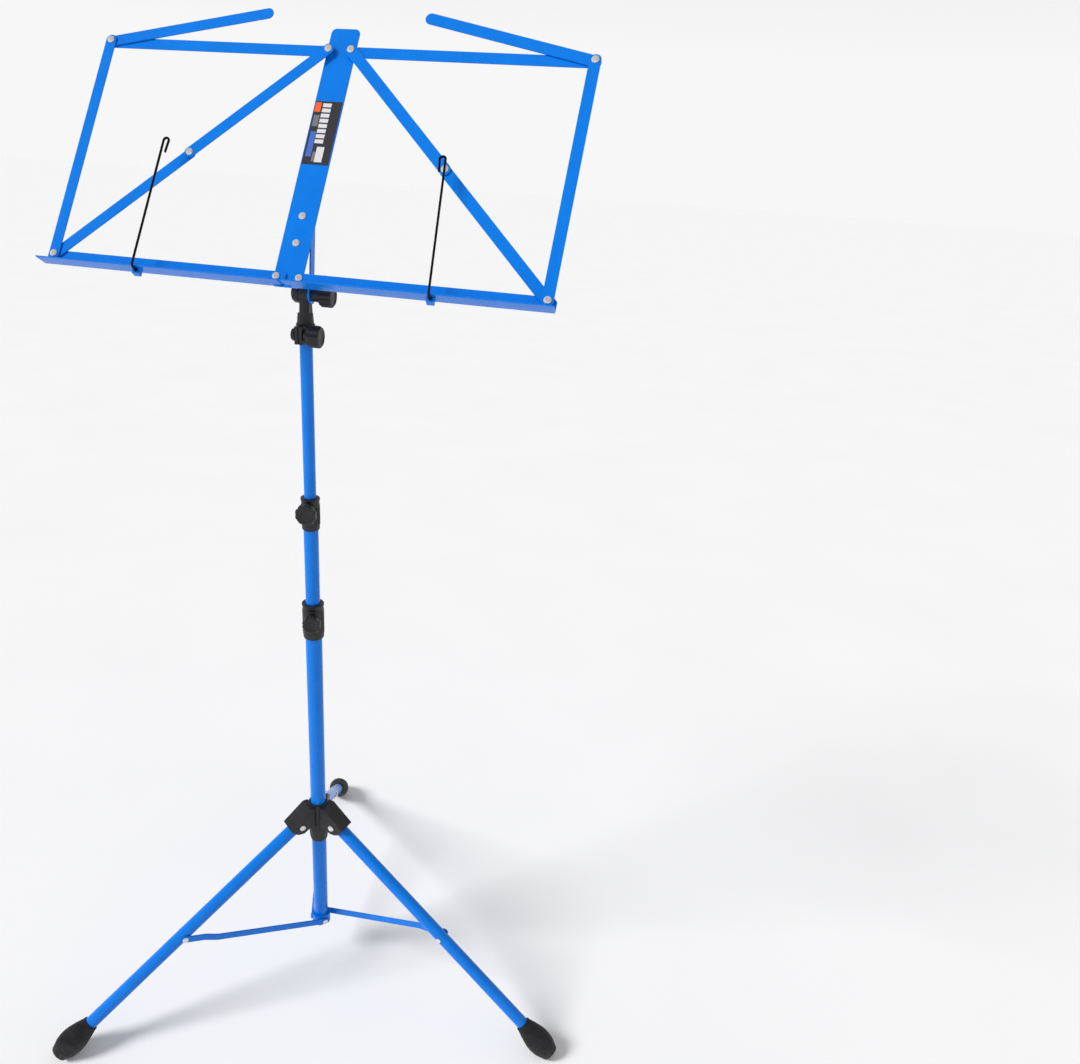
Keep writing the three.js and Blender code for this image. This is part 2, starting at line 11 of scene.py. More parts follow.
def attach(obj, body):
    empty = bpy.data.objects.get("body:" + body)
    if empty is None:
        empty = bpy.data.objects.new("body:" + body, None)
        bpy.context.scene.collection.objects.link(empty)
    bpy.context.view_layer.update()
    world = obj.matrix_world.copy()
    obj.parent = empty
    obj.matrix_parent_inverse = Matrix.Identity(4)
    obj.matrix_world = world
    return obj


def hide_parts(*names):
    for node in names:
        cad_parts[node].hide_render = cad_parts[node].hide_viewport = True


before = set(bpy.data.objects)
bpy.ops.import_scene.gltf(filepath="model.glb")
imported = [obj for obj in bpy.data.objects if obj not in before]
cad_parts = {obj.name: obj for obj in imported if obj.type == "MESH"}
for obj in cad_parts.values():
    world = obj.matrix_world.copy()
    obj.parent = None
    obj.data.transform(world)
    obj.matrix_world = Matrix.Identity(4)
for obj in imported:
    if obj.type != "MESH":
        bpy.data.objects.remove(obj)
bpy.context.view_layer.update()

MM = 0.001
X, Y, Z = "XYZ"
SIDES = (("left", -1), ("right", 1))

Tube = namedtuple("Tube", "node body radius wall bottom top")
Collar = namedtuple("Collar", "node body azimuth radius knob_z knob_radius tube_radius knob_body")
Rivet = namedtuple("Rivet", "head dome tail tail_height shank")
Knob = namedtuple("Knob", "radius neck neck_end top flutes groove")
Bolt = namedtuple("Bolt", "radius low high segments fillet steps profile")

# ---- dimensions shared with the CAD source, in millimetres and degrees ---------------------------
COLUMN = (-50.62, -38.92, 0)
TUBES = (
    Tube("lower_tube", "column", 9.5, 1.1, 67, 550),
    Tube("middle_tube", "middle_stage", 8, 1.0, 200, 673.5),
    Tube("top_tube", "top_stage", 6.35, 1.0, 371, 848.9),
)
COLLARS = (
    Collar("lower_collar", "column", 17, 12.3, 536, 10.4, 9.5, "lower_knob"),
    Collar("upper_collar", "middle_stage", 8, 10.1, 664, 11.4, 8, "upper_knob"),
)
LEG_AZIMUTHS = (77, 197, 317)
LEG_PIVOT = (27, 242)  # out from the column, height
LEG_LEAN = 54.4
LEG_END = 403
LEG_TAIL = 5
LEG_TUBE = (8, 1.1, 372)  # radius, wall, lower end
BRACE_Z = 62
BRACE_AT = 199
FOOT_LENGTH = 52
FOOT_SLIM = 0.985  # keeps the round foot inside its faceted CAD twin
DESK = (-1.6, -33.3, 892.8)
DESK_TILT = 36.8
BAR_HALF, BAR_TOP, BAR_BOTTOM = 14, 250, -8.5
BAR_BACK, BAR_FRONT = -1.8, -0.3
HINGE_S = 11
HINGE_SPAN = 225
STRIP_HALF = 5.35
STRIP_THICK = 1.2
REAR, MIDDLE, FRONT = 0, 1.5, 3.0  # the layers in which the strips lie
SEAT = 0.2  # air under a rivet's head and tail
EXTENSION_LENGTH, EXTENSION_RISE = 160, 12.9
BRACKET_RIVETS = (60.5, 34)
TILT_Z = 876.2
CLAMP_Z = 841.45
EAR_Y = -14.5
WIRE_SET = {"left": (142, 0), "right": (137.7, 4.8)}  # place along the ledge, lean
WIRE_T = -13.1
WIRE_RADIUS, WIRE_RISE, WIRE_FRONT = 1.1, 124.6, 18.7
WIRE_RINGS, RING_RADIUS, RING_WIDTH = (5.0, 11.8), 1.6, 1.0
LABEL_HALF, LABEL_LOW, LABEL_HIGH = 13.0, 111.5, 175.0
LABEL_BACK, LABEL_FACE = 0.02, 0.16  # in front of the centre bar

# ---- bought-in pieces, in millimetres ------------------------------------------------------------
# A pair after a rivet's name holds the heights of its tail and head along the rivet.
DESK_RIVET = Rivet(head=3.5, dome=1.5, tail=2.9, tail_height=1.0, shank=1.9)
OPEN_RIVET = DESK_RIVET._replace(tail=0)
LEG_PIN, LEG_PIN_SPAN = Rivet(head=4.1, dome=1.9, tail=4.1, tail_height=1.4, shank=2.5), (-11.2, 11.2)
BASE_RIVET, BASE_SPAN = Rivet(head=3.8, dome=1.7, tail=3.2, tail_height=1.1, shank=2.1), (8.9, 13.8)
BRACE_RIVET, BRACE_SPAN = BASE_RIVET._replace(tail=0), (8.2, 10.6)
LEG_SIDE, LEG_TAIL_SIZE = -8.2, (3.4, 1.1)  # far side of the leg; radius and height of the tail there
DIAGONAL_TAIL_SIZE = (2.9, 0.25)
BRACKET_REAR = -3.8
CLAMP_KNOB = Knob(radius=10, neck=4.6, neck_end=4.2, top=17.4, flutes=8, groove=1.3)
TILT_KNOB = Knob(radius=10, neck=6.2, neck_end=8, top=21, flutes=8, groove=1.3)
COLLAR_KNOB = Knob(radius=None, neck=5.4, neck_end=1.6, top=9.6, flutes=10, groove=0.95)  # radius by collar
COLLAR_BOSS = 2.5  # how far the collar's boss lifts the knob's seat
SCREW_RADIUS, SCREW_GAP = 3, 0.6
SCREW_PITCH, SCREW_DEPTH, SCREW_END = 0.4, 0.22, 0.2
KNOB_EDGE, KNOB_FILLET = 1.4, 0.9
DISH_DEPTH = 0.8
FLUTE_WIDTH, FLUTE_FADE = 0.32, 0.9
CLAMP_SEAT, TILT_SEAT = 4.6, 8  # how far to the right of the pivot each knob sits
CLAMP_BOLT = Bolt(radius=5.6, low=-7.0, high=-4.2, segments=60, fillet=0.4, steps=3, profile=(
    (0, -7.4), (4.9, -7.4), (5.6, -6.7), (5.6, -3.9), (2, -3.9), (2, 13), (0, 13)))
TILT_BOLT = Bolt(radius=8.4, low=-10.6, high=-4.4, segments=72, fillet=0.6, steps=4, profile=(
    (0, -11.4), (6.2, -11.4), (8.2, -9.8), (8.4, -5), (7.6, -3.8), (3, -3.8), (3, 19.4), (0, 19.4)))
BOLT_FLUTES, BOLT_GROOVE = 6, 0.5

# ---- studio --------------------------------------------------------------------------------------
FLOOR_HALF = 40.0  # metres
HORIZON, OVERHEAD = (0.1, 0.93), (0.7, 0.35)  # height on the sky, strength of its light
SUN_ENERGY, SUN_ANGLE, SUN_TRAVEL = 2.6, 20, (0.65, 0.42, -0.63)
EYE = (296.8, -844.1, 990.4)  # millimetres
EYE_PAN, EYE_TILT, EYE_ROLL = 12.69, 60.27, 3.81
LENS, SENSOR, LENS_SHIFT = 28.61, 36.0, (0.0797, 0.1134)
CLIP = (0.02, 60)  # metres


def turn(degrees, axis):
    return Matrix.Rotation(math.radians(degrees), 4, axis)


def shift(x, y, z):
    return Matrix.Translation((x * MM, y * MM, z * MM))


STAND = shift(*COLUMN)
DESK_PLANE = STAND @ shift(*DESK) @ turn(90 - DESK_TILT, X)


def spoke(azimuth):
    """X points outward at an azimuth measured from -Y towards +X."""
    return STAND @ turn(azimuth - 90, Z)


def leg_plane(azimuth):
    """Z runs down the leg from its pivot in the hub."""
    return spoke(azimuth) @ shift(LEG_PIVOT[0], 0, LEG_PIVOT[1]) @ turn(180 - LEG_LEAN, Y)


def brace_plane(azimuth):
    """X runs from the base bracket to the rivet on the leg."""
    lean = math.radians(LEG_LEAN)
    x = LEG_PIVOT[0] + BRACE_AT * math.sin(lean)
    z = LEG_PIVOT[1] - BRACE_AT * math.cos(lean)
    rise = math.degrees(math.atan2(z - BRACE_Z, x))
    return spoke(azimuth) @ shift(0, 0, BRACE_Z) @ turn(-rise, Y), math.hypot(x, z - BRACE_Z)


# ---- materials ----------------------------------------------------------------------------------
class Graph:
    """A small helper round one node material."""

    def __init__(self, name, **sockets):
        self.material = bpy.data.materials.new(name)
        self.material.use_nodes = True
        self.tree = self.material.node_tree
        self.shader = self.tree.nodes["Principled BSDF"]
        for key, value in sockets.items():
            self.shader.inputs[key.replace("_", " ")].default_value = value
        self.coords = self.add("ShaderNodeTexCoord").outputs["Object"]

    def add(self, kind, **inputs):
        node = self.tree.nodes.new(kind)
        for key, value in inputs.items():
            socket = node.inputs[key.replace("_", " ")]
            if hasattr(value, "is_output"):
                self.tree.links.new(value, socket)
            else:
                socket.default_value = value
        return node

    def link(self, output, name):
        self.tree.links.new(output, self.shader.inputs[name])

    def noise(self, scale, detail, rough=0.55, stretch=(1, 1, 1), turned=(0, 0, 0)):
        mapping = self.add("ShaderNodeMapping", Vector=self.coords, Scale=stretch, Rotation=turned)
        node = self.add("ShaderNodeTexNoise", Vector=mapping.outputs[0], Scale=scale, Detail=detail,
                        Roughness=rough)
        return node.outputs["Fac"]

    def ranged(self, value, low, high, to_low, to_high):
        """Maps low..high onto to_low..to_high and holds the ends."""
        return self.add("ShaderNodeMapRange", Value=value, From_Min=low, From_Max=high, To_Min=to_low,
                        To_Max=to_high).outputs[0]

    def mottle(self, scale, detail, to_low=0.0, to_high=1.0):
        """Soft patches over the whole surface: a noise stretched to its middle range."""
        return self.ranged(self.noise(scale, detail), 0.3, 0.7, to_low, to_high)

    def product(self, first, second):
        node = self.add("ShaderNodeMath")
        node.operation = "MULTIPLY"
        self.tree.links.new(first, node.inputs[0])
        self.tree.links.new(second, node.inputs[1])
        return node.outputs[0]

    def mixed(self, factor, first, second):
        node = self.tree.nodes.new("ShaderNodeMix")
        node.data_type = "RGBA"
        for socket, value in ((node.inputs[0], factor), (node.inputs[6], first), (node.inputs[7], second)):
            if hasattr(value, "is_output"):
                self.tree.links.new(value, socket)
            else:
                socket.default_value = value
        return node.outputs[2]

    def bump(self, height, distance, strength, below=None):
        node = self.add("ShaderNodeBump", Height=height, Strength=strength, Distance=distance)
        if below is not None:
            self.tree.links.new(below, node.inputs["Normal"])
        return node.outputs[0]


def rgb(r, g, b):
    """sRGB 0-255 to a linear colour."""
    linear = [c / 255 / 12.92 if c <= 10 else ((c / 255 + 0.055) / 1.055) ** 2.4 for c in (r, g, b)]
    return (*linear, 1)


def enamel(name, colour, shade, worn):
    """Glossy sprayed enamel: orange peel, soft mottling, hairline scuffs; worn thins it on edges."""
    g = Graph(name, Coat_Weight=0.08, Coat_Roughness=0.08, Specular_IOR_Level=0.2)
    base = g.mixed(g.mottle(38, 4), colour, shade)
    hairs = g.noise(160, 2, 0.5, (1, 1, 26), (0.7, 0.35, 0))
    scuff = g.ranged(hairs, 0.66, 0.74, 0.0, 0.28)
    base = g.mixed(scuff, base, rgb(84, 156, 226))
    if worn:
        chips = g.ranged(g.noise(420, 6, 0.7), 0.60, 0.66, 0.0, 1.0)
        patch = g.ranged(g.noise(55, 2), 0.50, 0.60, 0.0, 1.0)
        base = g.mixed(g.product(chips, patch), base, rgb(120, 140, 160))
    g.link(base, "Base Color")
    g.link(g.mottle(90, 4, 0.2, 0.3), "Roughness")
    peel = g.bump(g.noise(1100, 2, 0.4), 0.00012, 0.35)
    g.link(g.bump(hairs, 0.00005, 0.25, peel), "Normal")
    return g.material


def moulded(name, colour, worn_colour, grain, rough):
    """Spark-eroded moulded plastic: fine grain, rubbed patches, uneven sheen."""
    g = Graph(name, Specular_IOR_Level=0.45)
    rub = g.ranged(g.noise(120, 5, 0.6), 0.48, 0.72, 0.0, 1.0)
    dust = g.ranged(g.noise(900, 3, 0.7), 0.62, 0.75, 0.0, 0.35)
    base = g.mixed(dust, g.mixed(rub, colour, worn_colour), rgb(92, 88, 86))
    g.link(base, "Base Color")
    g.link(g.mottle(200, 4, rough - 0.09, rough + 0.09), "Roughness")
    soft = g.bump(g.noise(grain, 3, 0.6), 0.00018, 0.5)
    g.link(g.bump(g.noise(160, 2), 0.0003, 0.12, soft), "Normal")
    return g.material


def rubber(name, colour, shade):
    """Matt rubber, scuffed and dusty towards the floor."""
    g = Graph(name, Specular_IOR_Level=0.35)
    height = g.add("ShaderNodeSeparateXYZ", Vector=g.coords).outputs[2]
    low = g.ranged(height, 0.0, 0.03, 1.0, 0.0)
    smudge = g.ranged(g.noise(220, 6, 0.65), 0.42, 0.7, 0.0, 0.55)
    tone = g.mixed(g.ranged(g.noise(70, 4), 0.35, 0.65, 0.0, 1.0), colour, shade)
    g.link(g.mixed(g.product(low, smudge), tone, rgb(120, 112, 104)), "Base Color")
    g.link(g.mottle(300, 4, 0.62, 0.85), "Roughness")
    g.link(g.bump(g.noise(1500, 4, 0.7), 0.0002, 0.55), "Normal")
    return g.material


def metal(name, colour, shade, low, high, scale, metallic):
    """Drawn or headed metal with a faint bumpy grain and a mottled shine."""
    g = Graph(name, Metallic=metallic)
    g.link(g.mixed(g.ranged(g.noise(scale, 5, 0.6), 0.35, 0.7, 0.0, 1.0), colour, shade), "Base Color")
    g.link(g.mottle(scale * 2, 3, low, high), "Roughness")
    g.link(g.bump(g.noise(scale * 3, 3), 0.00008, 0.4), "Normal")
    return g.material


def printed(name, colour, shade):
    """Printed vinyl: fine speckle of ink under a thin film."""
    g = Graph(name, Coat_Weight=0.5, Coat_Roughness=0.2)
    g.link(g.mixed(g.ranged(g.noise(2500, 3, 0.7), 0.35, 0.65, 0.0, 1.0), colour, shade), "Base Color")
    g.link(g.mottle(150, 3, 0.3, 0.5), "Roughness")
    g.link(g.bump(g.noise(700, 3), 0.00005, 0.3), "Normal")
    return g.material


PAINT = enamel("enamel_blue", rgb(0, 118, 220), rgb(0, 112, 212), False)
EDGE_PAINT = enamel("enamel_blue_edge", rgb(6, 125, 226), rgb(0, 110, 211), True)
PLASTIC = moulded("plastic_black", rgb(22, 21, 25), rgb(36, 34, 37), 2600, 0.5)
RUBBER = rubber("rubber_black", rgb(24, 24, 27), rgb(38, 37, 40))
STEEL = metal("steel_zinc", rgb(240, 238, 234), rgb(206, 203, 199), 0.2, 0.36, 900, 0.55)
WIRE = metal("wire_black_oxide", rgb(44, 43, 46), rgb(24, 24, 27), 0.34, 0.5, 700, 1.0)
INK = {
    "charcoal": printed("label_charcoal", rgb(38, 36, 42), rgb(48, 46, 52)),
    "orange": printed("label_orange", rgb(232, 88, 28), rgb(244, 104, 40)),
    "grey": printed("label_grey", rgb(120, 120, 124), rgb(104, 104, 110)),
    "blue": printed("label_blue", rgb(66, 110, 196), rgb(52, 96, 180)),
    "white": printed("label_white", rgb(222, 222, 224), rgb(206, 206, 210)),
}


# ---- mesh helpers -------------------------------------------------------------------------------
def smooth(mesh, angle):
    for polygon in mesh.polygons:
        polygon.use_smooth = True
    mesh.set_sharp_from_angle(angle=math.radians(angle))


def absorb(bm, other):
    """Moves another bmesh into this one."""
    mesh = bpy.data.meshes.new("part")
    other.to_mesh(mesh)
    other.free()
    bm.from_mesh(mesh)
    bpy.data.meshes.remove(mesh)


def place(name, bm, matrix, material, body, replaced=(), edge=None, angle=35):
    """Turns a bmesh in millimetres into a piece that rides on a body."""
    bmesh.ops.recalc_face_normals(bm, faces=bm.faces)
    mesh = bpy.data.meshes.new(name)
    bm.to_mesh(mesh)
    bm.free()
    mesh.transform(matrix @ Matrix.Scale(MM, 4))
    smooth(mesh, angle)
    mesh.materials.append(material)
    if edge:
        mesh.materials.append(edge)
    piece = bpy.data.objects.new(name, mesh)
    bpy.context.scene.collection.objects.link(piece)
    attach(piece, body)
    if replaced:
        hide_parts(*replaced)
    return piece


def bevelled(piece, width, edge_material=-1, segments=3, angle=40):
    """Rounds the sharp edges; edge_material is the slot that the rounding shows."""
    bevel = piece.modifiers.new("edges", "BEVEL")
    bevel.width = width * MM
    bevel.segments = segments
    bevel.limit_method = "ANGLE"
    bevel.angle_limit = math.radians(angle)
    bevel.miter_outer = "MITER_ARC"
    bevel.material = edge_material
    normals = piece.modifiers.new("normals", "WEIGHTED_NORMAL")
    normals.keep_sharp = False
    return piece


def refined(node, material, body, width, edge=None):
    """A CAD node's own shape with rounded edges and smooth round faces."""
    bm = bmesh.new()
    bm.from_mesh(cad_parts[node].data)
    bmesh.ops.remove_doubles(bm, verts=bm.verts, dist=2e-6)
    bmesh.ops.dissolve_limit(bm, angle_limit=math.radians(0.8), verts=bm.verts, edges=bm.edges)
    bmesh.ops.scale(bm, vec=(1 / MM,) * 3, verts=bm.verts)
    piece = place(f"{node}_body", bm, Matrix.Identity(4), material, body, [node], edge, angle=180)
    return bevelled(piece, width, 1 if edge else -1, 2, 33)


def filleted(points, radius, steps):
    """Rounds the inner corners of a [radius, height] profile."""
    out = [points[0]]
    for before, corner, after in zip(points, points[1:], points[2:]):
        b, c, a = Vector(before), Vector(corner), Vector(after)
        reach = min(radius, 0.45 * (b - c).length, 0.45 * (a - c).length)
        start = c + (b - c).normalized() * reach
        end = c + (a - c).normalized() * reach
        for i in range(steps + 1):
            t = i / steps
            out.append(tuple(start * (1 - t) ** 2 + c * 2 * t * (1 - t) + end * t ** 2))
    out.append(points[-1])
    return out


def revolve(profile, segments, warp=None):
    """Revolves a [radius, height] profile about Z; warp may change the radius by height and angle."""
    bm = bmesh.new()
    rings = []
    for r, z in profile:
        if r == 0:
            rings.append([bm.verts.new((0, 0, z))])
            continue
        ring = []
        for i in range(segments):
            a = 2 * math.pi * i / segments
            radius = warp(r, z, a) if warp else r
            ring.append(bm.verts.new((radius * math.cos(a), radius * math.sin(a), z)))
        rings.append(ring)
    for lower, upper in zip(rings, rings[1:]):
        for i in range(segments):
            j = (i + 1) % segments
            corners = [ring[k % len(ring)] for ring, k in ((lower, i), (lower, j), (upper, j), (upper, i))]
            unique = list(dict.fromkeys(corners))
            if len(unique) > 2:
                bm.faces.new(unique)
    return bm


def arc(cx, cy, r, start, end, steps):
    angles = [math.radians(start + (end - start) * i / steps) for i in range(steps + 1)]
    return [(cx + r * math.cos(a), cy + r * math.sin(a)) for a in angles]


def slab(outline, z0, z1):
    """Flat plate between two heights."""
    bm = bmesh.new()
    low = [bm.verts.new((x, y, z0)) for x, y in outline]
    high = [bm.verts.new((x, y, z1)) for x, y in outline]
    bm.faces.new(low)
    bm.faces.new(high)
    for i in range(len(low)):
        j = (i + 1) % len(low)
        bm.faces.new((low[i], low[j], high[j], high[i]))
    return bm


def tube(r, wall, z0, z1):
    """Tube with rounded mouths."""
    bore, lip = r - wall, 3
    rim = [(bore, z0 + lip), (bore, z0), (r, z0), (r, z1), (bore, z1), (bore, z1 - lip)]
    return revolve(filleted(rim, 0.35, 3) + rim[:1], 72)


# ---- rivets and knobs ---------------------------------------------------------------------------
def rolled(z, tail, height):
    """Profile of a rolled rivet tail hanging below z."""
    return [(0, z - 0.75 * height), (tail * 0.35, z - 0.8 * height), (tail * 0.5, z - height),
            (tail * 0.85, z - height), (tail, z - 0.4 * height), (tail, z)]


def rivet(node, matrix, z0, z1, body, shape=DESK_RIVET):
    """Domed head with a pressed rim and the stub of its mandrel above z1, rolled tail below z0."""
    head, inner = shape.head, shape.head * 0.97
    rim, shoulder = z1 + 0.28, z1 + 0.42
    dome, top = shape.dome - 0.42, z1 + shape.dome
    start = rolled(z0, shape.tail, shape.tail_height) if shape.tail else [(0, z0)]
    profile = [*start, (shape.shank, z0), (shape.shank, z1), (head, z1), (head, rim), (inner, shoulder)]
    profile += [(inner * x, shoulder + dome * y) for x, y in arc(0, 0, 1, 9, 72, 7)]
    profile += [(head * 0.25, top - 0.03), (head * 0.22, top - 0.45), (head * 0.19, top - 0.45),
                (head * 0.17, top - 0.2), (0, top - 0.16)]
    return place(f"{node}_body", revolve(profile, 32), matrix, STEEL, body, [node], angle=50)


def formed_tail(name, matrix, z, body, tail, height):
    """Far side of a rivet whose loop is open: its tail stays with the piece that it grips."""
    profile = [*rolled(z, tail, height), (0, z)]
    return place(name, revolve(profile, 32), matrix, STEEL, body, angle=50)


def fluted(r, low, high, flutes, depth):
    """Warp that presses finger grooves into a knob's rim between two heights."""
    def warp(radius, z, a):
        inside_rim = radius < r * 0.72
        if inside_rim:
            return radius
        phase = (a * flutes / (2 * math.pi)) % 1.0 - 0.5
        groove = max(0.0, 1 - (abs(phase) / FLUTE_WIDTH) ** 2) ** 0.75
        from_low, from_high = (z - low) / FLUTE_FADE + 0.35, (high - z) / FLUTE_FADE + 0.35
        ends = min(1.0, max(0.0, from_low), max(0.0, from_high))
        return radius - depth * groove * ends
    return warp


def thread(start):
    """Screw from a height below zero up into the knob, with its crests and roots."""
    turns = [(SCREW_RADIUS - (SCREW_DEPTH if i % 2 else 0.0), start + SCREW_PITCH * i)
             for i in range(int(-start / SCREW_PITCH))]
    return revolve([(0, start), *turns, (SCREW_RADIUS, SCREW_END), (0, SCREW_END)], 32)


def knob(node, matrix, body, shape, screw_start=None):
    """Fluted hand knob with a dished face on a neck, seated at height zero."""
    r, low, top = shape.radius, shape.neck_end, shape.top
    floor = top - DISH_DEPTH
    profile = [(0, 0), (shape.neck, 0), (shape.neck, low), (r - KNOB_EDGE, low), (r, low + 1.2),
               (r, top - KNOB_EDGE), (r - 1.3, top), (r * 0.66, top), (r * 0.6, floor), (0, floor)]
    grooves = fluted(r, low + 0.6, top - 0.6, shape.flutes, shape.groove)
    bm = revolve(filleted(profile, KNOB_FILLET, 4), shape.flutes * 18, grooves)
    if screw_start is not None:
        absorb(bm, thread(screw_start))
    return place(f"{node}_body", bm, matrix, PLASTIC, body, [node], angle=32)


# ---- column -------------------------------------------------------------------------------------
def column():
    for t in TUBES:
        place(f"{t.node}_body", tube(t.radius, t.wall, t.bottom, t.top), STAND, PAINT, t.body, [t.node])
    for c in COLLARS:
        refined(c.node, PLASTIC, c.body, 0.4)
        stem = c.radius + COLLAR_BOSS
        matrix = spoke(c.azimuth) @ shift(stem, 0, c.knob_z) @ turn(90, Y)
        shape = COLLAR_KNOB._replace(radius=c.knob_radius)
        knob(f"{c.node}_knob", matrix, c.knob_body, shape, c.tube_radius + SCREW_GAP - stem)


# ---- tripod -------------------------------------------------------------------------------------
def foot_cap(number, azimuth):
    """Barrel foot with a rolled lip and a flat sole, cut off level where it stands on the floor."""
    end = LEG_END
    mouth = end - FOOT_LENGTH
    outer = [(9.2, mouth), (10.0, mouth + 0.5), (10.2, mouth + 1.8)]
    barrel = ((12.9, 41), (15.0, 33), (16.3, 26), (16.4, 19), (15.2, 11.5), (12.9, 5.5), (10.9, 0.6))
    knots = [(10.35, mouth + 3.0)] + [(r, end - back) for r, back in barrel]
    steps = 6
    for i in range(len(knots) - 1):
        p0, p1, p2, p3 = knots[max(i - 1, 0)], knots[i], knots[i + 1], knots[min(i + 2, len(knots) - 1)]
        for step in range(steps):
            t = step / steps
            outer.append(tuple(0.5 * (2 * b + (c - a) * t + (2 * a - 5 * b + 4 * c - d) * t * t
                                      + (3 * b - a - 3 * c + d) * t ** 3)
                               for a, b, c, d in zip(p0, p1, p2, p3)))
    sole = [(10.9, end - 0.6), (10.5, end - 0.1), (9.8, end), (0, end)]
    inside = [(0, end - 30), (8.3, end - 30), (8.3, mouth + 0.3), (8.6, mouth)]
    bm = revolve([(r * FOOT_SLIM, z) for r, z in inside + outer + sole], 72)
    matrix = leg_plane(azimuth)
    to_floor = matrix @ Matrix.Scale(MM, 4)
    back = to_floor.inverted()
    for vert in bm.verts:
        world = to_floor @ vert.co
        if world.z < 0:
            world.z = 0
            vert.co = back @ world
    place(f"foot_cap_{number}_body", bm, matrix, RUBBER, f"leg_{number}", [f"foot_cap_{number}"], angle=40)


def tripod():
    refined("tripod_hub", PLASTIC, "hub", 0.5)
    refined("base_bracket", PAINT, "column", 0.4, EDGE_PAINT)
    along_pin = turn(-90, X)
    radius, wall, lower_end = LEG_TUBE
    for number, azimuth in enumerate(LEG_AZIMUTHS, 1):
        leg, brace = f"leg_{number}", f"brace_{number}"
        place(f"{leg}_body", tube(radius, wall, -LEG_TAIL, lower_end), leg_plane(azimuth), PAINT, leg, [leg])
        foot_cap(number, azimuth)
        refined(brace, PAINT, brace, 0.3, EDGE_PAINT)
        pivot = spoke(azimuth) @ shift(LEG_PIVOT[0], 0, LEG_PIVOT[1]) @ along_pin
        rivet(f"leg_pin_{number}", pivot, *LEG_PIN_SPAN, "hub", LEG_PIN)
        plane, length = brace_plane(azimuth)
        end = plane @ shift(length, 0, 0) @ along_pin
        rivet(f"brace_rivet_{number}", end, *BRACE_SPAN, brace, BRACE_RIVET)
        joint = leg_plane(azimuth) @ shift(0, 0, BRACE_AT) @ along_pin
        formed_tail(f"{leg}_tail", joint, LEG_SIDE, leg, *LEG_TAIL_SIZE)
        foot = spoke(azimuth) @ shift(0, 0, BRACE_Z) @ along_pin
        rivet(f"base_rivet_{number}", foot, *BASE_SPAN, "column", BASE_RIVET)


# ---- head ---------------------------------------------------------------------------------------
def bolt(node, matrix, shape):
    """Bolt with a fluted cap on its free end."""
    grooves = fluted(shape.radius, shape.low, shape.high, BOLT_FLUTES, BOLT_GROOVE)
    bm = revolve(filleted(shape.profile, shape.fillet, shape.steps), shape.segments, grooves)
    place(f"{node}_body", bm, matrix, PLASTIC, "head", [node], angle=32)


def head():
    refined("head_clamp", PLASTIC, "head", 0.5)
    across = turn(90, Y)
    clamp = STAND @ shift(0, EAR_Y, CLAMP_Z)
    pivot = STAND @ shift(0, 0, TILT_Z)
    knob("head_clamp_knob", clamp @ shift(CLAMP_SEAT, 0, 0) @ across, "clamp_knob", CLAMP_KNOB)
    knob("tilt_knob", pivot @ shift(TILT_SEAT, 0, 0) @ across, "tilt_knob", TILT_KNOB)
    bolt("head_clamp_bolt", clamp @ across, CLAMP_BOLT)
    bolt("tilt_bolt", pivot @ across, TILT_BOLT)


# ---- desk ---------------------------------------------------------------------------------------
def strip_outline(a, b, half):
    heading = math.degrees(math.atan2(b[1] - a[1], b[0] - a[0]))
    return (arc(b[0], b[1], half, heading - 90, heading + 90, 20)
            + arc(a[0], a[1], half, heading + 90, heading + 270, 20))


def strip(node, a, b, layer, body):
    """Flat bar with round ends from one rivet to the next."""
    blank = slab(strip_outline(a, b, STRIP_HALF), layer, layer + STRIP_THICK)
    piece = place(f"{node}_body", blank, DESK_PLANE, PAINT, body, [node], EDGE_PAINT)
    return bevelled(piece, 0.32, 1)


def centre_bar():
    half, top, bottom = BAR_HALF, BAR_TOP, BAR_BOTTOM
    outline = ([(-half, 30)] + arc(-half + 2.5, bottom + 2.5, 2.5, 180, 270, 8)
               + arc(half - 4, bottom + 4, 4, 270, 360, 10) + arc(half - 5, top - 5, 5, 0, 90, 12)
               + arc(-half + 5, top - 5, 5, 90, 180, 12))
    piece = place("centre_bar_body", slab(outline, BAR_BACK, BAR_FRONT), DESK_PLANE, PAINT, "desk",
                  ["centre_bar"], EDGE_PAINT)
    bevelled(piece, 0.4, 1)


def wire_path(sign):
    """Centre line: out of the lug, a bend, a long stalk, an open hook and its tail."""
    bend, hook, tail = 3.0, 2.6, 11.5
    back, height = WIRE_FRONT - bend, WIRE_RISE
    path = [(0, 0, 4.5), (0, 0, back)]
    for a in map(math.radians, range(10, 91, 10)):
        path.append((0, bend - bend * math.cos(a), back + bend * math.sin(a)))
    path += [(0, bend + (height - bend) * i / 12, WIRE_FRONT) for i in range(1, 13)]
    for a in map(math.radians, range(12, 181, 12)):
        path.append((-hook + hook * math.cos(a), height + hook * math.sin(a), WIRE_FRONT))
    path += [(-2 * hook + 0.3 * hook * i / 4, height - tail * i / 4, WIRE_FRONT) for i in range(1, 5)]
    return [(sign * x, y, z) for x, y, z in path]


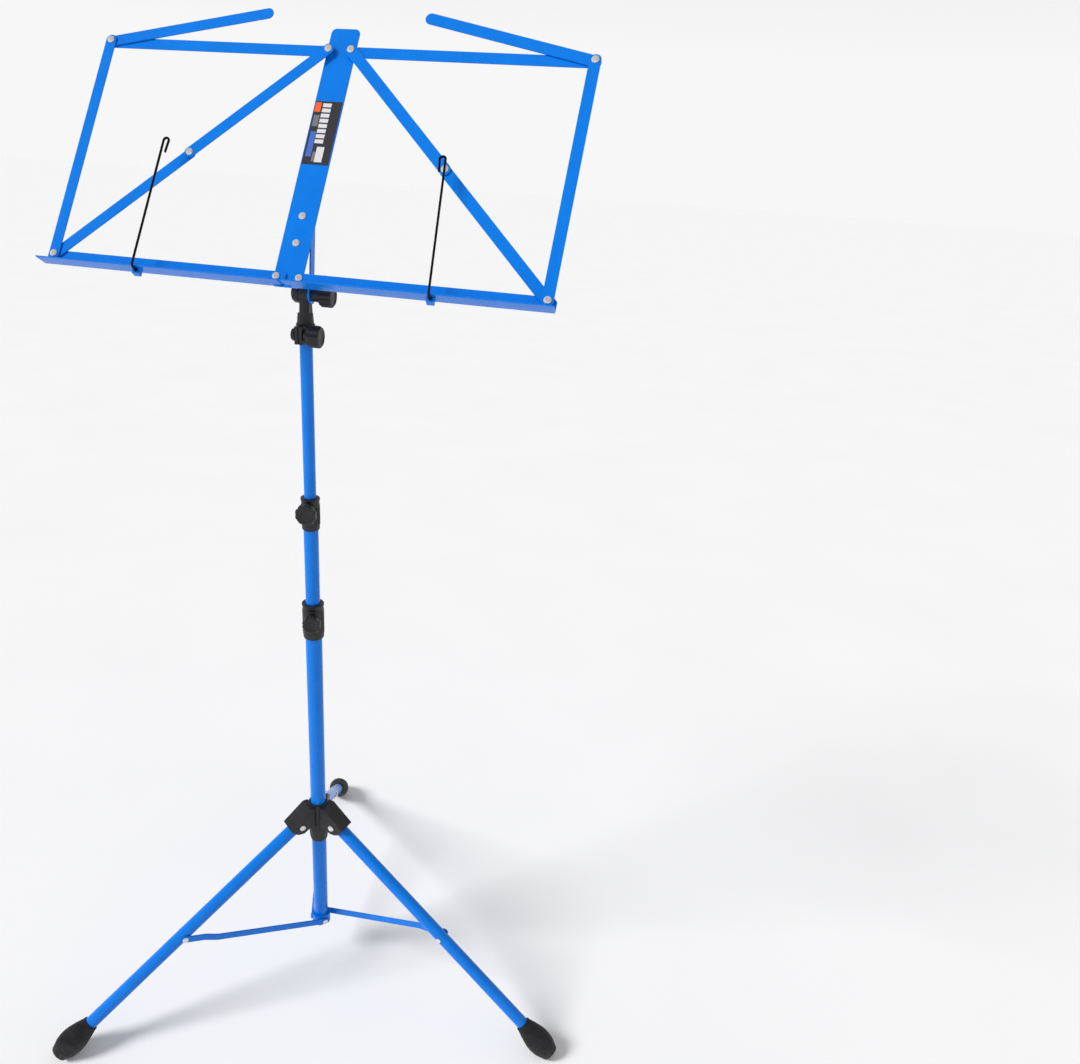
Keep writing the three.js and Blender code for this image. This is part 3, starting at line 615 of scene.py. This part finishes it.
def wire(side, sign, across, lean):
    """Page wire: one bent rod with a pressed ring on each side of its lug."""
    path = wire_path(sign)
    curve = bpy.data.curves.new(f"{side}_wire_line", "CURVE")
    curve.dimensions = "3D"
    curve.bevel_depth = WIRE_RADIUS
    curve.bevel_resolution = 4
    curve.use_fill_caps = True
    spline = curve.splines.new("POLY")
    spline.points.add(len(path) - 1)
    for point, spot in zip(spline.points, path):
        point.co = (*spot, 1)
    holder = bpy.data.objects.new("line", curve)
    bpy.context.scene.collection.objects.link(holder)
    mesh = bpy.data.meshes.new_from_object(holder)
    bpy.data.objects.remove(holder)
    bm = bmesh.new()
    bm.from_mesh(mesh)
    for z in WIRE_RINGS:
        ring = [(0, z), (RING_RADIUS, z), (RING_RADIUS, z + RING_WIDTH), (0, z + RING_WIDTH)]
        absorb(bm, revolve(filleted(ring, 0.25, 3), 24))
    foot = DESK_PLANE @ shift(sign * across, WIRE_T, 0) @ turn(sign * lean, Z)
    node = f"{side}_page_wire"
    place(f"{node}_body", bm, foot, WIRE, node, [node], angle=60)


def label():
    """Plain printed label with blank blocks and bars of colour, stuck on the centre bar."""
    # left, right, low and high of each block as parts of the label, ink
    blocks = [(0.02, 0.24, 0.83, 0.98, "orange"), (0.05, 0.26, 0.60, 0.78, "grey"),
              (0.07, 0.28, 0.12, 0.52, "blue"), (0.32, 0.44, 0.05, 0.20, "grey"),
              (0.44, 0.72, 0.04, 0.28, "white")]
    blocks += [(0.30, 0.62, 0.335 + 0.082 * i, 0.395 + 0.082 * i, "white") for i in range(8)]
    columns = sorted({0.0, 1.0, *(v for block in blocks for v in block[:2])})
    rows = sorted({0.0, 1.0, *(v for block in blocks for v in block[2:4])})
    names = list(INK)
    height = LABEL_HIGH - LABEL_LOW
    bm = bmesh.new()
    grid = [[bm.verts.new((LABEL_HALF * (2 * x - 1), LABEL_LOW + height * y, BAR_FRONT + LABEL_FACE))
             for x in columns] for y in rows]
    for j in range(len(rows) - 1):
        for i in range(len(columns) - 1):
            x, y = (columns[i] + columns[i + 1]) / 2, (rows[j] + rows[j + 1]) / 2
            inks = [ink for x0, x1, y0, y1, ink in blocks if x0 < x < x1 and y0 < y < y1]
            face = bm.faces.new((grid[j][i], grid[j][i + 1], grid[j + 1][i + 1], grid[j + 1][i]))
            face.material_index = names.index(inks[-1] if inks else "charcoal")
    rim = [*grid[0], *(row[-1] for row in grid[1:-1]), *grid[-1][::-1], *(row[0] for row in grid[-2:0:-1])]
    back = [bm.verts.new((v.co.x, v.co.y, BAR_FRONT + LABEL_BACK)) for v in rim]
    for i in range(len(rim)):
        j = (i + 1) % len(rim)
        bm.faces.new((rim[i], back[i], back[j], rim[j]))
    bm.faces.new(back)
    piece = place("label_body", bm, DESK_PLANE, INK["charcoal"], "desk", angle=30)
    for name in names[1:]:
        piece.data.materials.append(INK[name])


def desk_half(side, sign):
    near, far = sign * HINGE_S, sign * (HINGE_S + HINGE_SPAN)
    low_in, top_in, low_out, top_out = (near, 0), (near, HINGE_SPAN), (far, 0), (far, HINGE_SPAN)
    centre = (sign * (HINGE_S + HINGE_SPAN / 2), HINGE_SPAN / 2)
    rise = math.radians(EXTENSION_RISE)
    tip = (far - sign * EXTENSION_LENGTH * math.cos(rise), HINGE_SPAN + EXTENSION_LENGTH * math.sin(rise))
    refined(f"{side}_ledge", PAINT, f"{side}_ledge", 0.25, EDGE_PAINT)
    strip(f"{side}_top_arm", top_in, top_out, REAR, f"{side}_top_arm")
    strip(f"{side}_upright", low_out, top_out, FRONT, f"{side}_upright")
    strip(f"{side}_diagonal_upper", top_in, centre, FRONT, f"{side}_diagonal_upper")
    strip(f"{side}_diagonal_lower", low_out, centre, MIDDLE, f"{side}_diagonal_lower")
    strip(f"{side}_extension_arm", top_out, tip, MIDDLE, f"{side}_extension")
    wire(side, sign, *WIRE_SET[side])
    rear_face = REAR + STRIP_THICK + SEAT
    front_face = FRONT + STRIP_THICK + SEAT
    for node, at, low, high, body in (
        ("rivet_bar_low", low_in, BAR_BACK - SEAT, rear_face, "desk"),
        ("rivet_bar_top", top_in, BAR_BACK - SEAT, front_face, "desk"),
        ("rivet_corner_low", low_out, REAR - SEAT, front_face, f"{side}_ledge"),
        ("rivet_corner_top", top_out, REAR - SEAT, front_face, f"{side}_top_arm"),
    ):
        rivet(f"{side}_{node}", DESK_PLANE @ shift(*at, 0), low, high, body)
    middle = DESK_PLANE @ shift(*centre, 0)
    rivet(f"{side}_rivet_diagonal", middle, FRONT - SEAT, front_face, f"{side}_diagonal_upper", OPEN_RIVET)
    formed_tail(f"{side}_diagonal_tail", middle, MIDDLE, f"{side}_diagonal_lower", *DIAGONAL_TAIL_SIZE)


def desk():
    centre_bar()
    refined("tilt_bracket", PAINT, "desk", 0.3, EDGE_PAINT)
    for number, t in enumerate(BRACKET_RIVETS, 1):
        at = DESK_PLANE @ shift(0, t, 0)
        rivet(f"bracket_rivet_{number}", at, BRACKET_REAR, BAR_FRONT + SEAT, "desk")
    for side, sign in SIDES:
        desk_half(side, sign)
    label()


# ---- room, light, camera ------------------------------------------------------------------------
def studio():
    """Wide pale floor under a surround that is bright at the horizon and dim overhead, one soft sun."""
    mesh = bpy.data.meshes.new("floor")
    half = FLOOR_HALF
    corners = [(-half, -half, 0), (half, -half, 0), (half, half, 0), (-half, half, 0)]
    mesh.from_pydata(corners, [], [(0, 1, 2, 3)])
    floor = bpy.data.objects.new("floor", mesh)
    bpy.context.scene.collection.objects.link(floor)
    g = Graph("floor_pale", Roughness=0.9, Specular_IOR_Level=0.1)
    g.link(g.mixed(g.mottle(3, 2), rgb(250, 250, 251), rgb(248, 248, 249)), "Base Color")
    mesh.materials.append(g.material)
    world = bpy.data.worlds.new("studio")
    world.use_nodes = True
    tree = world.node_tree
    background = tree.nodes["Background"]
    background.inputs["Color"].default_value = (1, 1, 1, 1)
    direction = tree.nodes.new("ShaderNodeTexCoord")
    split = tree.nodes.new("ShaderNodeSeparateXYZ")
    fade = tree.nodes.new("ShaderNodeMapRange")
    fade.inputs["From Min"].default_value, fade.inputs["To Min"].default_value = HORIZON
    fade.inputs["From Max"].default_value, fade.inputs["To Max"].default_value = OVERHEAD
    tree.links.new(direction.outputs["Generated"], split.inputs[0])
    tree.links.new(split.outputs[2], fade.inputs["Value"])
    tree.links.new(fade.outputs[0], background.inputs["Strength"])
    bpy.context.scene.world = world
    light = bpy.data.lights.new("sun", "SUN")
    light.energy = SUN_ENERGY
    light.angle = math.radians(SUN_ANGLE)
    lamp = bpy.data.objects.new("sun", light)
    lamp.rotation_euler = Vector(SUN_TRAVEL).to_track_quat("-Z", "Y").to_euler()
    lamp.visible_glossy = False  # no glare on the flat strips of the desk
    bpy.context.scene.collection.objects.link(lamp)


def camera():
    data = bpy.data.cameras.new("camera")
    data.sensor_fit = "HORIZONTAL"
    data.sensor_width = SENSOR
    data.lens = LENS
    data.shift_x, data.shift_y = LENS_SHIFT
    data.clip_start, data.clip_end = CLIP
    eye = bpy.data.objects.new("camera", data)
    eye.matrix_world = shift(*EYE) @ turn(EYE_PAN, Z) @ turn(EYE_TILT, X) @ turn(EYE_ROLL, Z)
    bpy.context.scene.collection.objects.link(eye)
    bpy.context.scene.camera = eye


column()
tripod()
head()
desk()
studio()
camera()
bpy.context.scene.view_settings.view_transform = "Standard"
